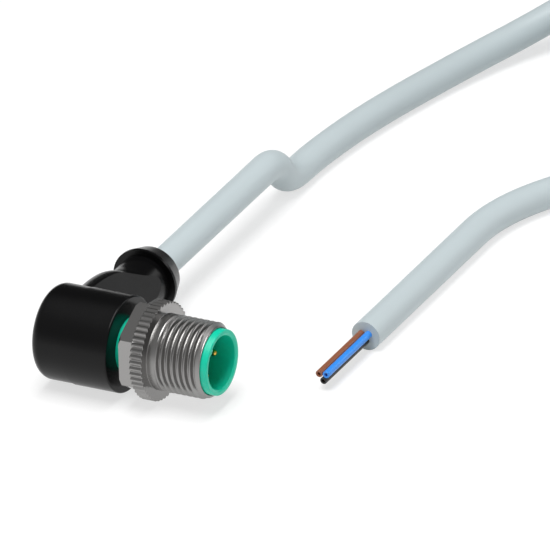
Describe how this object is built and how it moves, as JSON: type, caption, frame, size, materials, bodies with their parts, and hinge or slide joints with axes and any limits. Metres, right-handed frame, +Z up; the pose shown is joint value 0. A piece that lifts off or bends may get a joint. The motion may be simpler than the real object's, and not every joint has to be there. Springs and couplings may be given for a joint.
{
  "type": "right-angle circular sensor connector with cable",
  "caption": "Right-angle M12 plug with a moulded grip, knurled threaded coupling nut, keyed contact carrier, gold pins and a grey cable with flying leads.",
  "frame": {"origin": "centre of the front face of the coupling nut's knurled ring, on the mating axis", "axes": "+X out of the mating face, +Y along the cable where it leaves the grip, +Z up"},
  "size_m": [0.095, 0.1591, 0.0202],
  "materials": {
    "grip": "smooth black moulded elastomer, satin to glossy",
    "carrier": "smooth turquoise green moulded plastic",
    "nut": "polished nickel plate on turned brass",
    "pin": "gold plate, polished",
    "brown_insulation": "smooth brown wire insulation",
    "blue_insulation": "smooth blue wire insulation",
    "black_insulation": "smooth black wire insulation",
    "copper": "bare copper, cut flush",
    "jacket": "smooth pale blue-grey cable jacket, slight satin sheen",
    "tie": "black hook-and-loop strap"
  },
  "bodies": {
    "plug": {"grip_body": "grip", "contact_carrier": "carrier", "pin_1": "pin", "pin_3": "pin", "pin_4": "pin", "brown_wire": "brown_insulation", "blue_wire": "blue_insulation", "black_wire": "black_insulation", "brown_wire_copper": "copper", "blue_wire_copper": "copper", "black_wire_copper": "copper", "grip_side_cable": "jacket", "cable_coil": "jacket", "coil_tie": "tie", "open_side_cable": "jacket", "brown_lead": "brown_insulation", "blue_lead": "blue_insulation", "black_lead": "black_insulation", "brown_lead_copper": "copper", "blue_lead_copper": "copper", "black_lead_copper": "copper"},
    "nut": {"coupling_nut": "nut"}
  },
  "joints": [
    {"name": "nut_spin", "type": "hinge", "parent": "plug", "child": "nut", "pos_m": [0, 0, 0], "axis": [1, 0, 0], "continuous": true}
  ]
}
